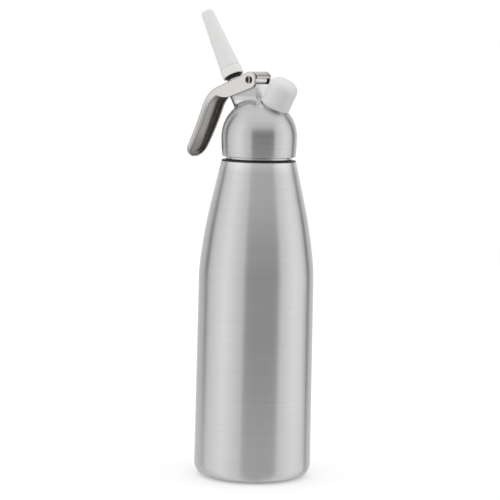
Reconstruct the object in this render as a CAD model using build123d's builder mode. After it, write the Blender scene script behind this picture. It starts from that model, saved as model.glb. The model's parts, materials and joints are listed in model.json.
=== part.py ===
from build123d import *
from math import cos, degrees, radians, sin, sqrt
import os

os.makedirs("parts", exist_ok=True)

# One-litre cream whipper. Millimetres, +Z up, origin on the bottle's axis in the plane it stands on.
# The lever and the nozzle point towards -X, the charger port towards +X, and XZ is the mirror plane.

# ---- bottle ----
BASE_RADIUS = 44.5
BASE_CORNER = 9.0
BODY_TOP_Z = 152.0          # the straight body ends here and the shoulder begins
BODY_TOP_RADIUS = 43.65
SHOULDER_BEND = (42.2, 170.0)   # radius and height of three rings on the shoulder's curve
SHOULDER_MIDDLE = (37.35, 200.0)
SHOULDER_UPPER = (31.1, 228.0)
SHOULDER_RADIUS = 28.0
SHOULDER_TOP_Z = 241.5
BOTTLE_WALL = 1.6
FOOT_OUTER_WIDTH = 4.5      # flat ring that the bottle stands on
DISH_DEPTH = 4.0            # the underside is pressed inwards
DISH_BOW = 0.75             # share of that depth left halfway out
SHOULDER_END_SLOPE = (-0.25, 1)   # the way the shoulder runs where it meets the neck
NECK_RADIUS = 24.9
NECK_THREAD_DEPTH = 0.65
NECK_BEAD_HEIGHT = 3.0      # plain bands above and below the thread
NECK_HEIGHT = 18.5
NECK_WALL = 2.4
NECK_RIM_ROUND = 0.6

# ---- head ----
HEAD_RADIUS = 28.6
SKIRT_GAP = 2.5             # between the bottle's shoulder and the skirt
SKIRT_BOTTOM_Z = SHOULDER_TOP_Z + SKIRT_GAP
SKIRT_HEIGHT = 15.0
HEAD_CENTRE_Z = SKIRT_BOTTOM_Z + SKIRT_HEIGHT
SKIRT_BOTTOM_RADIUS = 27.8
SKIRT_EDGE = 0.8
NECK_CLEARANCE = 0.3
GASKET_THICKNESS = 2.0
GASKET_WIDTH = 3.9
GASKET_EDGE = 0.3
CAVITY_RADIUS = 22.4

# ---- tilted branches: one axis for the valve, one for the charger port ----
BRANCH_DROP = 1.0           # below the dome's centre
BRANCH_CENTRE_Z = HEAD_CENTRE_Z - BRANCH_DROP
BRANCH_TILT = 29.0

# ---- valve boss and pivot ear; heights along the valve axis from the branch centre ----
BOSS_RADIUS = 8.5
BOSS_TOP = 39.0
BOSS_ROOT_FILLET = 4.0
BOSS_REAR_X = 1.8
SPRING_POCKET_RADIUS = 7.2
SPRING_POCKET_FLOOR = 30.0
STEM_RUNNING_GAP = 0.05
SEAT_HEIGHT = 22.0
SEAT_BOSS_RADIUS = 8.0
PIVOT_X = -3.4
PIVOT_RISE = 42.8           # above the dome's centre
PIVOT_Z = HEAD_CENTRE_Z + PIVOT_RISE
EAR_RADIUS = 4.2
EAR_WIDTH = 14.5
EAR_DROP = 3.2              # from the pivot down to the boss's shoulder under the ear
PIVOT_RADIUS = 2.0
PIVOT_RUNNING_GAP = 0.05

# ---- lever ----
LEVER_SHEET = 1.6
LEVER_CHEEK_GAP = 0.3       # each side of the ear
LEVER_NOSE_RADIUS = 6.2
LEVER_WEB_SLOPE = 22.9
LEVER_WEB_LENGTH = 30.1
LEVER_KNEE_RADIUS = 25.0
LEVER_HANDLE_LEAN = 21.0    # from the vertical, just below the knee
LEVER_HANDLE_RADIUS = 355.0
LEVER_HANDLE_LENGTH = 42.6
LEVER_HANDLE_DEPTH = 5.4
LEVER_TIP_DEPTH = 3.6       # the sides get shallower towards the tip
LEVER_HANDLE_WIDTH = 20.4
LEVER_TIP_CORNER = 8.6
LEVER_CHEEK_SLOPE = 19.8
LEVER_CHEEK_LENGTH = 20.0
LEVER_CHEEK_STOP = 9.9       # degrees into the knee where the deep cheeks end
LEVER_CHEEK_STOP_SHARE = 0.88   # of the handle's depth there
LEVER_TAPER_START = 45.0     # the sides draw in from here to the rounded tip
LEVER_BEND = 1.4
LEVER_INNER_BEND = 0.5
LEVER_CHEEK_NOSE = 5.4      # from the pivot to the cheeks' upright back edges
LEVER_TAB_WIDTH = 15.8
LEVER_TAB_START = 85.0      # degrees above the level of the pivot, where the tab leaves the cheeks
LEVER_TAB_END = 12.0        # and where it ends
LEVER_TRIM = 1.0            # the handle is drawn this much long, then trimmed to its round tip
STEM_SLOT_CLEARANCE = 0.5
STEM_SLOT_LENGTH = 14.6
STEM_SLOT_ALONG = 19.0      # its middle, measured down the web from the nose
PIVOT_HEAD_RADIUS = 2.6
PIVOT_HEAD_CLEARANCE = 0.6
PIVOT_HEAD_RECESS = 0.4
PIVOT_HEAD_HEIGHT = 0.7
PIVOT_SLOT_WIDTH = 0.8
PIVOT_SLOT_DEPTH = 0.45
PIVOT_TAIL = 0.8            # pin beyond its clip
PIVOT_TAIL_CHAMFER = 0.4
CLIP_RADIUS = 3.6
CLIP_THICKNESS = 0.8
CLIP_SEAT_GAP = 0.1
CLIP_GROOVE_RADIUS = 1.5
CLIP_GROOVE_PLAY = 0.05
CLIP_MOUTH = 2.6

# ---- valve train; heights along the valve axis ----
STEM_RADIUS = 5.0
STEM_BORE_RADIUS = 2.8
STEM_THREAD_RADIUS = 4.4
STEM_SHOULDER = 43.7
STEM_TOP = 61.0
STEM_TAIL_RADIUS = 3.2
STEM_FLOOR = 22.6
STEM_TAIL_END = 16.4
STEM_CHAMFER = 0.4
SIDE_HOLES = 4
SIDE_HOLE_RADIUS = 1.1
SIDE_HOLE_HEIGHT = 23.4
ORING_SECTION = 0.55
ORING_SQUEEZE_GAP = 0.03
ORING_HEIGHTS = (25.9, 28.6)
SEAL_THICKNESS = 2.0
SEAL_RADIUS = 7.0
SEAT_GAP = 0.05
RUBBER_EDGE = 0.3
NUT_THICKNESS = 3.0
NUT_ACROSS_FLATS = 10.0
THRUST_WASHER_RADIUS = 7.4
THRUST_WASHER_THICKNESS = 1.9
WASHER_EDGE = 0.3
SCREW_FIT = 0.03            # radial play where one piece is screwed on another
SPRING_WIRE = 1.1
SPRING_MEAN_RADIUS = 6.2
SPRING_TURNS = 5.0
SPRING_SEAT_THICKNESS = 0.8
SPRING_SEAT_PLAY = 0.2
ADAPTER_NECK_RADIUS = 5.6
ADAPTER_COLLAR_BOTTOM = 54.0
ADAPTER_COLLAR_RADIUS = 6.6
ADAPTER_COLLAR_HEIGHT = 1.2
ADAPTER_THREAD_RADIUS = 5.8
ADAPTER_TOP = 66.0
ADAPTER_MOUTH_RADIUS = 3.6
ADAPTER_STEM_ROOM = 0.3

# ---- nozzle; heights along the valve axis ----
NOZZLE_BOTTOM = 52.6
NOZZLE_TOP = 108.6
NOZZLE_BASE_RADIUS = 8.1
NOZZLE_TIP_RADIUS = 4.7
NOZZLE_TIP_ROUND = 2.6
NOZZLE_BAND_HEIGHT = 7.0
NOZZLE_BAND_STEP = 0.3
NOZZLE_OUTLET_RADIUS = 2.6
NOZZLE_SEAL_THICKNESS = 1.0
NOZZLE_FOOT_ROUND = 0.4
NOZZLE_RECESS_RADIUS = 6.9
NOZZLE_BORE_RADIUS = 5.0
NOZZLE_SOCKET_ROOM = 0.3

# ---- charger port and cap; heights along the port axis ----
PORT_COLLAR_RADIUS = 11.2
PORT_COLLAR_TOP = 27.5
PORT_BOSS_RADIUS = 9.4       # the thickened wall inside the head
PORT_BOSS_BOTTOM = 22.0
PORT_FLANGE_RADIUS = 10.9
PORT_FLANGE_THICKNESS = 0.7
PORT_THREAD_RADIUS = 8.9
PORT_TOP = 42.6
PORT_SHANK_RADIUS = 7.0
PORT_SHANK_BOTTOM = 20.0
PORT_RECESS_RADIUS = 5.2
PORT_RECESS_FLOOR = 33.0
PORT_BORE_RADIUS = 2.0
PORT_GASKET_THICKNESS = 0.4
PORT_GASKET_INSET = 0.4
PORT_EDGE = 0.5
CHARGER_SEAL_THICKNESS = 1.6
PIN_FLANGE_RADIUS = 3.6
PIN_FLANGE_HEIGHT = 1.0
PIN_POINT_HEIGHT = 5.0
PIN_POINT_RADIUS = 0.9
PIN_BORE_RADIUS = 0.4
PIN_POINT_FOOT_RADIUS = 1.6
PIN_SHANK_LENGTH = 5.0
PIN_RING_SECTION = 0.4
PIN_RING_HEIGHT = 30.5
NIPPLE_HOLE_HEIGHT = 17.0
NIPPLE_HOLE_RADIUS = 0.8
CHECK_SLEEVE_WALL = 1.2
CHECK_SLEEVE_LENGTH = 6.0
CHECK_NIPPLE_RADIUS = 3.4
CAP_RADIUS = 11.5
CAP_LENGTH = 21.5
CAP_RIM_GAP = 0.3
CAP_INNER_DEPTH = 17.4
CAP_INNER_ROUND = 2.5
CAP_DRAFT = 0.35            # how much the radius shrinks from rim to shoulder
CAP_SHOULDER_ROUND = 6.5
CAP_DOME_RADIUS = 22.0
CAP_RIM_ROUND = 0.5

CUT_PAST = 6.0              # how far a cut runs past the face it opens
SAME_PLACE = 0.01           # two points closer than this are the same
ALONG_EDGE = (0, 0.3, 0.5, 0.7, 1)   # where along an edge it is tested

TILT = radians(BRANCH_TILT)
VALVE_AXIS = Vector(-sin(TILT), 0, cos(TILT))
PORT_AXIS = Vector(sin(TILT), 0, cos(TILT))
BRANCH_CENTRE = Vector(0, 0, BRANCH_CENTRE_Z)
PIVOT = Vector(PIVOT_X, 0, PIVOT_Z)


def across_valve(height):
    """The plane square to the valve axis at a height; its x points from the axis to the pivot's side."""
    return Plane(BRANCH_CENTRE + VALVE_AXIS * height, x_dir=(cos(TILT), 0, sin(TILT)), z_dir=VALVE_AXIS)


def along_valve():
    """The plane that holds the valve axis; its y runs up that axis from the branch centre."""
    return Plane(BRANCH_CENTRE, x_dir=(cos(TILT), 0, sin(TILT)), z_dir=(0, -1, 0))


def across_port(height):
    """The plane square to the port axis at a height."""
    return Plane(BRANCH_CENTRE + PORT_AXIS * height, x_dir=(cos(TILT), 0, -sin(TILT)), z_dir=PORT_AXIS)


def along_port():
    """The plane that holds the port axis; its y runs up that axis from the branch centre."""
    return Plane(BRANCH_CENTRE, x_dir=(cos(TILT), 0, -sin(TILT)), z_dir=(0, -1, 0))


def branch_axis(plane):
    """The axis that a profile drawn in along_valve or along_port is turned about."""
    return Axis(BRANCH_CENTRE, plane.y_dir)


def across_pivot(y):
    """The plane square to the pivot at a distance along Y, facing +Y."""
    return Plane(PIVOT + Vector(0, y, 0), x_dir=(1, 0, 0), z_dir=(0, 1, 0))


VALVE_PLANE = along_valve()
PORT_PLANE = along_port()


def rings_of(builder, radius):
    """A piece's circular edges of a given radius."""
    return builder.edges().filter_by(GeomType.CIRCLE).filter_by(
        lambda edge: abs(edge.radius - radius) < SAME_PLACE
    )


def finish(builder, name):
    """Names a piece and writes it."""
    builder.part.label = name
    export_step(builder.part, f"parts/{name}.step")


# ==== bottle: spun aluminium, with a dished underside and a threaded neck ====
NECK_TOP_Z = SHOULDER_TOP_Z + NECK_HEIGHT
NECK_BORE_RADIUS = NECK_RADIUS - NECK_WALL
THREAD_ROOT_RADIUS = NECK_RADIUS - NECK_THREAD_DEPTH
DISH_RADIUS = BASE_RADIUS - BASE_CORNER - FOOT_OUTER_WIDTH
INSIDE_CORNER = BASE_CORNER - BOTTLE_WALL
SHOULDER_RINGS = (SHOULDER_BEND, SHOULDER_MIDDLE, SHOULDER_UPPER)
BODY_TAPER = (BODY_TOP_RADIUS - BASE_RADIUS, BODY_TOP_Z - BASE_CORNER)

with BuildPart() as bottle:
    with BuildSketch(Plane.XZ):
        with BuildLine():
            dish = ThreePointArc((0, DISH_DEPTH), (DISH_RADIUS / 2, DISH_DEPTH * DISH_BOW), (DISH_RADIUS, 0))
            foot = Line(dish @ 1, (BASE_RADIUS - BASE_CORNER, 0))
            corner = RadiusArc(foot @ 1, (BASE_RADIUS, BASE_CORNER), -BASE_CORNER)
            body = Line(corner @ 1, (BODY_TOP_RADIUS, BODY_TOP_Z))
            shoulder = Spline(body @ 1, *SHOULDER_RINGS, (SHOULDER_RADIUS, SHOULDER_TOP_Z),
                              tangents=(BODY_TAPER, SHOULDER_END_SLOPE))
            Polyline(
                shoulder @ 1,
                (NECK_RADIUS, SHOULDER_TOP_Z),
                (NECK_RADIUS, SHOULDER_TOP_Z + NECK_BEAD_HEIGHT),
                (THREAD_ROOT_RADIUS, SHOULDER_TOP_Z + NECK_BEAD_HEIGHT + NECK_THREAD_DEPTH),
                (THREAD_ROOT_RADIUS, NECK_TOP_Z - NECK_BEAD_HEIGHT - NECK_THREAD_DEPTH),
                (NECK_RADIUS, NECK_TOP_Z - NECK_BEAD_HEIGHT),
                (NECK_RADIUS, NECK_TOP_Z),
                (0, NECK_TOP_Z),
                (0, DISH_DEPTH),
            )
        make_face()
    revolve(axis=Axis.Z)
    with BuildSketch(Plane.XZ):
        with BuildLine():
            floor = ThreePointArc(
                (0, DISH_DEPTH + BOTTLE_WALL),
                (DISH_RADIUS / 2, DISH_DEPTH * DISH_BOW + BOTTLE_WALL),
                (DISH_RADIUS, BOTTLE_WALL),
            )
            ledge = Line(floor @ 1, (BASE_RADIUS - BASE_CORNER, BOTTLE_WALL))
            inner_corner = RadiusArc(ledge @ 1, (BASE_RADIUS - BOTTLE_WALL, BASE_CORNER), -INSIDE_CORNER)
            inner_body = Line(inner_corner @ 1, (BODY_TOP_RADIUS - BOTTLE_WALL, BODY_TOP_Z))
            inner_shoulder = Spline(
                inner_body @ 1,
                *[(ring_radius - BOTTLE_WALL, ring_z) for ring_radius, ring_z in SHOULDER_RINGS],
                (NECK_BORE_RADIUS, SHOULDER_TOP_Z),
                tangents=(BODY_TAPER, SHOULDER_END_SLOPE),
            )
            Polyline(inner_shoulder @ 1, (NECK_BORE_RADIUS, NECK_TOP_Z), (0, NECK_TOP_Z), floor @ 0)
        make_face()
    revolve(axis=Axis.Z, mode=Mode.SUBTRACT)
    rim_edges = bottle.edges().group_by(Axis.Z)[-1]
    fillet(rim_edges, NECK_RIM_ROUND)
    fillet(rings_of(bottle, SHOULDER_RADIUS), SKIRT_EDGE)
finish(bottle, "bottle")

# ==== head gasket: a flat silicone ring on the bottle's rim ====
GASKET_TOP_Z = NECK_TOP_Z + GASKET_THICKNESS
HEAD_BORE_RADIUS = NECK_RADIUS + NECK_CLEARANCE
with BuildPart() as head_gasket:
    with BuildSketch(Plane.XY.offset(NECK_TOP_Z)):
        Circle(NECK_RADIUS)
        Circle(NECK_RADIUS - GASKET_WIDTH, mode=Mode.SUBTRACT)
    extrude(amount=GASKET_THICKNESS)
    fillet(head_gasket.edges(), GASKET_EDGE)
finish(head_gasket, "head_gasket")

# ==== valve boss with the pivot ear, squared off at the back ====
PIVOT_OFFSET = PIVOT - BRANCH_CENTRE
PIVOT_ACROSS = PIVOT_OFFSET.dot(Vector(cos(TILT), 0, sin(TILT)))
EAR_LEFT_X = PIVOT_X - EAR_RADIUS
EAR_FOOT_Z = PIVOT_Z - EAR_DROP

with BuildPart() as valve_boss:
    with BuildSketch(across_valve(0)):
        Circle(BOSS_RADIUS)
        with Locations((PIVOT_ACROSS, 0)):
            Rectangle(2 * PIVOT_ACROSS, 2 * BOSS_RADIUS)
    extrude(amount=BOSS_TOP)
    with BuildSketch(Plane.XZ):
        with Locations((BOSS_REAR_X + HEAD_RADIUS, PIVOT_Z)):
            Rectangle(2 * HEAD_RADIUS, 4 * HEAD_RADIUS)
        with Locations((PIVOT_X + HEAD_RADIUS, EAR_FOOT_Z + HEAD_RADIUS)):
            Rectangle(2 * HEAD_RADIUS, 2 * HEAD_RADIUS)
    extrude(amount=HEAD_RADIUS, both=True, mode=Mode.SUBTRACT)
    with BuildSketch(Plane.XZ):
        with BuildLine():
            Polyline(
                (EAR_LEFT_X, EAR_FOOT_Z),
                (BOSS_REAR_X, EAR_FOOT_Z),
                (BOSS_REAR_X, HEAD_CENTRE_Z),
                (EAR_LEFT_X, HEAD_CENTRE_Z),
                close=True,
            )
        make_face()
    extrude(amount=BOSS_RADIUS, both=True)
    with BuildSketch(Plane.XZ):
        with Locations((PIVOT_X, PIVOT_Z)):
            Circle(EAR_RADIUS)
    extrude(amount=EAR_WIDTH / 2, both=True)

# ==== head: a turned dome whose skirt goes over the neck ====
with BuildPart() as head_body:
    with BuildSketch(Plane.XZ):
        with BuildLine():
            skirt_foot = Line((0, SKIRT_BOTTOM_Z), (SKIRT_BOTTOM_RADIUS, SKIRT_BOTTOM_Z))
            skirt = TangentArc((HEAD_RADIUS, HEAD_CENTRE_Z), skirt_foot @ 1, tangent=(0, -1))
            dome = RadiusArc((HEAD_RADIUS, HEAD_CENTRE_Z), (0, HEAD_CENTRE_Z + HEAD_RADIUS), -HEAD_RADIUS)
            Line(dome @ 1, skirt_foot @ 0)
        make_face()
    revolve(axis=Axis.Z)
    skirt_edge = head_body.edges().group_by(Axis.Z)[0]
    fillet(skirt_edge, SKIRT_EDGE)
    add(valve_boss.part)
    root_edges = head_body.edges().filter_by(
        lambda edge: all(
            abs((edge @ along - Vector(0, 0, HEAD_CENTRE_Z)).length - HEAD_RADIUS) < SAME_PLACE
            for along in ALONG_EDGE
        )
        and (edge @ 0.5).Z > HEAD_CENTRE_Z + SKIRT_EDGE
    )
    fillet(root_edges, BOSS_ROOT_FILLET)
    with BuildSketch(across_port(PORT_COLLAR_TOP)):
        Circle(PORT_COLLAR_RADIUS)
    extrude(amount=CUT_PAST, mode=Mode.SUBTRACT)
    with BuildSketch(across_port(0)):
        Circle(PORT_COLLAR_RADIUS)
    extrude(amount=PORT_COLLAR_TOP)
    # the inside: a bore over the neck, a ledge on the gasket, and the domed space above it
    with BuildSketch(Plane.XZ):
        with BuildLine():
            wall = Polyline(
                (0, SKIRT_BOTTOM_Z),
                (HEAD_BORE_RADIUS, SKIRT_BOTTOM_Z),
                (HEAD_BORE_RADIUS, GASKET_TOP_Z),
                (CAVITY_RADIUS, GASKET_TOP_Z),
            )
            ceiling = RadiusArc(wall @ 1, (0, GASKET_TOP_Z + CAVITY_RADIUS), -CAVITY_RADIUS)
            Line(ceiling @ 1, wall @ 0)
        make_face()
    revolve(axis=Axis.Z, mode=Mode.SUBTRACT)
    with BuildSketch(across_valve(SEAT_HEIGHT)):
        Circle(SEAT_BOSS_RADIUS)
    extrude(amount=SPRING_POCKET_FLOOR - SEAT_HEIGHT)
    with BuildSketch(across_port(PORT_BOSS_BOTTOM)):
        Circle(PORT_BOSS_RADIUS)
    extrude(amount=PORT_COLLAR_TOP - PORT_BOSS_BOTTOM)
    with BuildSketch(across_valve(SEAT_HEIGHT)):
        Circle(STEM_RADIUS + STEM_RUNNING_GAP)
    extrude(amount=BOSS_TOP - SEAT_HEIGHT + CUT_PAST, mode=Mode.SUBTRACT)
    with BuildSketch(across_valve(SPRING_POCKET_FLOOR)):
        Circle(SPRING_POCKET_RADIUS)
    extrude(amount=BOSS_TOP - SPRING_POCKET_FLOOR + CUT_PAST, mode=Mode.SUBTRACT)
    with BuildSketch(across_port(PORT_SHANK_BOTTOM)):
        Circle(PORT_SHANK_RADIUS + SCREW_FIT)
    extrude(amount=PORT_COLLAR_TOP - PORT_SHANK_BOTTOM + CUT_PAST, mode=Mode.SUBTRACT)
    with BuildSketch(Plane.XZ.offset(-2 * BOSS_RADIUS)):
        with Locations((PIVOT_X, PIVOT_Z)):
            Circle(PIVOT_RADIUS + PIVOT_RUNNING_GAP)
    extrude(amount=4 * BOSS_RADIUS, mode=Mode.SUBTRACT)
finish(head_body, "head_body")

# ==== lever: one bent sheet, a channel with deep cheeks at the pivot and shallow sides on the handle ====
WEB_TURN = radians(LEVER_WEB_SLOPE)
CHEEK_TURN = radians(LEVER_CHEEK_SLOPE)
WEB_DIRECTION = Vector(-cos(WEB_TURN), -sin(WEB_TURN))
WEB_NORMAL = Vector(-sin(WEB_TURN), cos(WEB_TURN))
CHEEK_DIRECTION = Vector(-cos(CHEEK_TURN), -sin(CHEEK_TURN))
CHEEK_NORMAL = Vector(sin(CHEEK_TURN), -cos(CHEEK_TURN))
KNEE_TURN = 90 - LEVER_HANDLE_LEAN - LEVER_WEB_SLOPE
HANDLE_TURN = degrees((LEVER_HANDLE_LENGTH + LEVER_TRIM) / LEVER_HANDLE_RADIUS)
TIP_SHARE = LEVER_HANDLE_LENGTH / (LEVER_HANDLE_LENGTH + LEVER_TRIM)
CHEEK_INSIDE_Y = BOSS_RADIUS + LEVER_CHEEK_GAP
CHEEK_OUTSIDE_Y = CHEEK_INSIDE_Y + LEVER_SHEET
PIVOT_2D = Vector(PIVOT_X, PIVOT_Z)
WEB_START = PIVOT_2D + WEB_NORMAL * LEVER_NOSE_RADIUS
CHEEK_START = PIVOT_2D + CHEEK_NORMAL * LEVER_NOSE_RADIUS
CHEEK_LAP = (LEVER_BEND + LEVER_HANDLE_DEPTH) / 2
REACH = 3 * HEAD_RADIUS     # long enough to cut right through the lever


def from_pivot(radius, angle):
    """A point around the pivot, seen from -Y; the angle is in degrees above the level."""
    return PIVOT_2D + Vector(cos(radians(angle)), sin(radians(angle))) * radius


def lever_back(inset, tip_inset=None):
    """The curve of the web's outer side from the nose past the tip, or one inside it, as far in at the tip or less."""
    start = WEB_START - WEB_NORMAL * inset
    web = Line(start, start + WEB_DIRECTION * LEVER_WEB_LENGTH)
    knee = JernArc(web @ 1, WEB_DIRECTION, LEVER_KNEE_RADIUS - inset, KNEE_TURN)
    if tip_inset is None:
        handle = JernArc(knee @ 1, knee % 1, LEVER_HANDLE_RADIUS + inset, -HANDLE_TURN)
    else:
        handle = TangentArc(knee @ 1, HANDLE_END + HANDLE_END_INWARD * tip_inset, tangent=knee % 1)
    return web, knee, handle


def lever_outline(inset):
    """The lever seen square to its handle: parallel sides that draw in to a round tip."""
    corner_y = LEVER_HANDLE_WIDTH / 2 - LEVER_TIP_CORNER
    with Locations((-corner_y, LEVER_TIP_CORNER), (corner_y, LEVER_TIP_CORNER)):
        Circle(LEVER_TIP_CORNER - inset)
    with Locations((0, LEVER_TAPER_START + REACH / 2)):
        Rectangle(2 * (CHEEK_OUTSIDE_Y - inset), REACH)
    make_hull()


with BuildLine() as back_line:
    back_web, back_knee, back_handle = lever_back(0)
HANDLE_END = back_handle @ 1
HANDLE_END_INWARD = (back_handle % 1).rotate(Axis.Z, 90)
TIP = back_handle @ TIP_SHARE
TIP_DIRECTION = back_handle % TIP_SHARE
TIP_PLANE = Plane(
    (TIP.X, 0, TIP.Y), x_dir=(0, 1, 0), z_dir=(-TIP_DIRECTION.Y, 0, TIP_DIRECTION.X)
)
KNEE_CENTRE = back_web @ 1 - WEB_NORMAL * LEVER_KNEE_RADIUS
CHEEK_STOP_TURN = radians(90 + LEVER_WEB_SLOPE + LEVER_CHEEK_STOP)
CHEEK_STOP = KNEE_CENTRE + Vector(cos(CHEEK_STOP_TURN), sin(CHEEK_STOP_TURN)) * (
    LEVER_KNEE_RADIUS - LEVER_HANDLE_DEPTH * LEVER_CHEEK_STOP_SHARE
)


SLOT_CENTRE = WEB_START + WEB_DIRECTION * STEM_SLOT_ALONG
WEB_PLANE = Plane(
    (SLOT_CENTRE.X, 0, SLOT_CENTRE.Y),
    x_dir=(WEB_DIRECTION.X, 0, WEB_DIRECTION.Y),
    z_dir=(WEB_NORMAL.X, 0, WEB_NORMAL.Y),
)


def runs_along_back(edge, inset):
    """Whether an edge lies in the web's outer side, or at the same inset inside it."""
    points = [edge @ along for along in ALONG_EDGE]
    return all(
        abs(back_line.line.distance_to(Vector(point.X, point.Z)) - inset) < SAME_PLACE for point in points
    )


with BuildPart() as lever_hollow:
    with BuildSketch(Plane.XZ):
        with Locations((PIVOT_X, PIVOT_Z)):
            Circle(LEVER_NOSE_RADIUS - LEVER_SHEET)
        with BuildLine():
            web, knee, handle = lever_back(LEVER_SHEET)
            Polyline(
                handle @ 1,
                (PIVOT_X, PIVOT_Z - 2 * REACH),
                (PIVOT_X + REACH, PIVOT_Z - 2 * REACH),
                from_pivot(REACH, LEVER_TAB_END),
                PIVOT_2D,
                web @ 0,
            )
        make_face()
    extrude(amount=CHEEK_OUTSIDE_Y, both=True)
    with BuildSketch(TIP_PLANE):
        lever_outline(LEVER_SHEET)
    extrude(amount=2 * REACH, both=True, mode=Mode.INTERSECT)
    inner_bends = lever_hollow.edges().filter_by(Axis.Y, reverse=True).filter_by(
        lambda edge: runs_along_back(edge, LEVER_SHEET)
    )
    fillet(inner_bends, LEVER_INNER_BEND)

with BuildPart() as lever:
    # the web and the handle with their sides, down to the handle's depth
    with BuildSketch(Plane.XZ):
        with BuildLine():
            web, knee, handle = lever_back(0)
            deep_web, deep_knee, deep_handle = lever_back(LEVER_HANDLE_DEPTH, LEVER_TIP_DEPTH)
            Line(handle @ 1, deep_handle @ 1)
            Line(web @ 0, deep_web @ 0)
        make_face()
        with BuildLine():
            nose = CenterArc(
                PIVOT_2D, LEVER_NOSE_RADIUS, LEVER_TAB_START, 90 + LEVER_WEB_SLOPE - LEVER_TAB_START
            )
            Polyline(nose @ 0, PIVOT_2D, nose @ 1)
        make_face()
    extrude(amount=CHEEK_OUTSIDE_Y, both=True)
    with BuildSketch(TIP_PLANE):
        lever_outline(0)
    extrude(amount=2 * REACH, both=True, mode=Mode.INTERSECT)
    outer_bends = lever.edges().filter_by(Axis.Y, reverse=True).filter_by(
        lambda edge: runs_along_back(edge, 0)
    )
    fillet(outer_bends, LEVER_BEND)
    # the tab that wraps the nose, and the full cheeks
    with BuildSketch(Plane.XZ):
        with BuildLine():
            wrap = CenterArc(PIVOT_2D, LEVER_NOSE_RADIUS, LEVER_TAB_END, LEVER_TAB_START - LEVER_TAB_END)
            Polyline(wrap @ 0, PIVOT_2D, wrap @ 1)
        make_face()
    extrude(amount=LEVER_TAB_WIDTH / 2, both=True)
    add(lever_hollow.part, mode=Mode.SUBTRACT)
    with BuildSketch(Plane.XZ.offset(CHEEK_INSIDE_Y), Plane.XZ.offset(-CHEEK_OUTSIDE_Y)):
        with BuildLine():
            nose = CenterArc(
                PIVOT_2D, LEVER_NOSE_RADIUS, LEVER_TAB_START, -LEVER_TAB_START - 90 + LEVER_CHEEK_SLOPE
            )
            cheek = Line(nose @ 1, CHEEK_START + CHEEK_DIRECTION * LEVER_CHEEK_LENGTH)
            cheek_end = TangentArc(cheek @ 1, CHEEK_STOP, tangent=CHEEK_DIRECTION)
            lap_start = WEB_START - WEB_NORMAL * CHEEK_LAP
            Polyline(
                cheek_end @ 1,
                lap_start + WEB_DIRECTION * LEVER_WEB_LENGTH,
                lap_start,
                PIVOT_2D,
                nose @ 0,
            )
        make_face()
        with Locations((PIVOT_X + LEVER_CHEEK_NOSE + REACH / 2, PIVOT_Z)):
            Rectangle(REACH, REACH, mode=Mode.SUBTRACT)
    extrude(amount=LEVER_SHEET)
    # the slot for the nozzle's neck, the pivot hole and the sunk seat for the pin's head
    with BuildSketch(WEB_PLANE):
        SlotOverall(STEM_SLOT_LENGTH, 2 * (ADAPTER_NECK_RADIUS + STEM_SLOT_CLEARANCE))
    extrude(amount=LEVER_HANDLE_DEPTH, both=True, mode=Mode.SUBTRACT)
    with BuildSketch(across_pivot(-CHEEK_OUTSIDE_Y)):
        Circle(PIVOT_RADIUS + PIVOT_RUNNING_GAP)
    extrude(amount=2 * CHEEK_OUTSIDE_Y, mode=Mode.SUBTRACT)
    with BuildSketch(across_pivot(-CHEEK_OUTSIDE_Y)):
        Circle(PIVOT_HEAD_RADIUS + PIVOT_HEAD_CLEARANCE)
    extrude(amount=PIVOT_HEAD_RECESS + PIVOT_HEAD_HEIGHT, mode=Mode.SUBTRACT)
finish(lever, "lever")

# ==== pivot pin with a slotted head, and its clip ====
PIN_HEAD_Y = PIVOT_HEAD_RECESS - CHEEK_OUTSIDE_Y
PIN_SEAT_Y = PIN_HEAD_Y + PIVOT_HEAD_HEIGHT
CLIP_START_Y = CHEEK_OUTSIDE_Y + CLIP_SEAT_GAP
CLIP_END_Y = CLIP_START_Y + CLIP_THICKNESS
PIN_END_Y = CLIP_END_Y + PIVOT_TAIL
with BuildPart() as pivot_pin:
    with BuildSketch(Plane(PIVOT, x_dir=(0, 1, 0), z_dir=(1, 0, 0))):
        with BuildLine():
            Polyline(
                (PIN_HEAD_Y, 0),
                (PIN_HEAD_Y, PIVOT_HEAD_RADIUS),
                (PIN_SEAT_Y, PIVOT_HEAD_RADIUS),
                (PIN_SEAT_Y, PIVOT_RADIUS),
                (CLIP_START_Y - CLIP_GROOVE_PLAY, PIVOT_RADIUS),
                (CLIP_START_Y - CLIP_GROOVE_PLAY, CLIP_GROOVE_RADIUS),
                (CLIP_END_Y + CLIP_GROOVE_PLAY, CLIP_GROOVE_RADIUS),
                (CLIP_END_Y + CLIP_GROOVE_PLAY, PIVOT_RADIUS),
                (PIN_END_Y - PIVOT_TAIL_CHAMFER, PIVOT_RADIUS),
                (PIN_END_Y, PIVOT_RADIUS - PIVOT_TAIL_CHAMFER),
                (PIN_END_Y, 0),
                close=True,
            )
        make_face()
    revolve(axis=Axis(PIVOT, (0, 1, 0)))
    with BuildSketch(across_pivot(PIN_HEAD_Y)):
        Rectangle(PIVOT_SLOT_WIDTH, 2 * PIVOT_HEAD_RADIUS)
    extrude(amount=PIVOT_SLOT_DEPTH, mode=Mode.SUBTRACT)
finish(pivot_pin, "pivot_pin")

with BuildPart() as pivot_clip:
    with BuildSketch(across_pivot(CLIP_START_Y)):
        Circle(CLIP_RADIUS)
        Circle(CLIP_GROOVE_RADIUS + CLIP_GROOVE_PLAY, mode=Mode.SUBTRACT)
        with Locations((0, CLIP_RADIUS)):
            Rectangle(CLIP_MOUTH, 2 * CLIP_RADIUS, mode=Mode.SUBTRACT)
    extrude(amount=CLIP_THICKNESS)
finish(pivot_clip, "pivot_clip")

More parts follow.
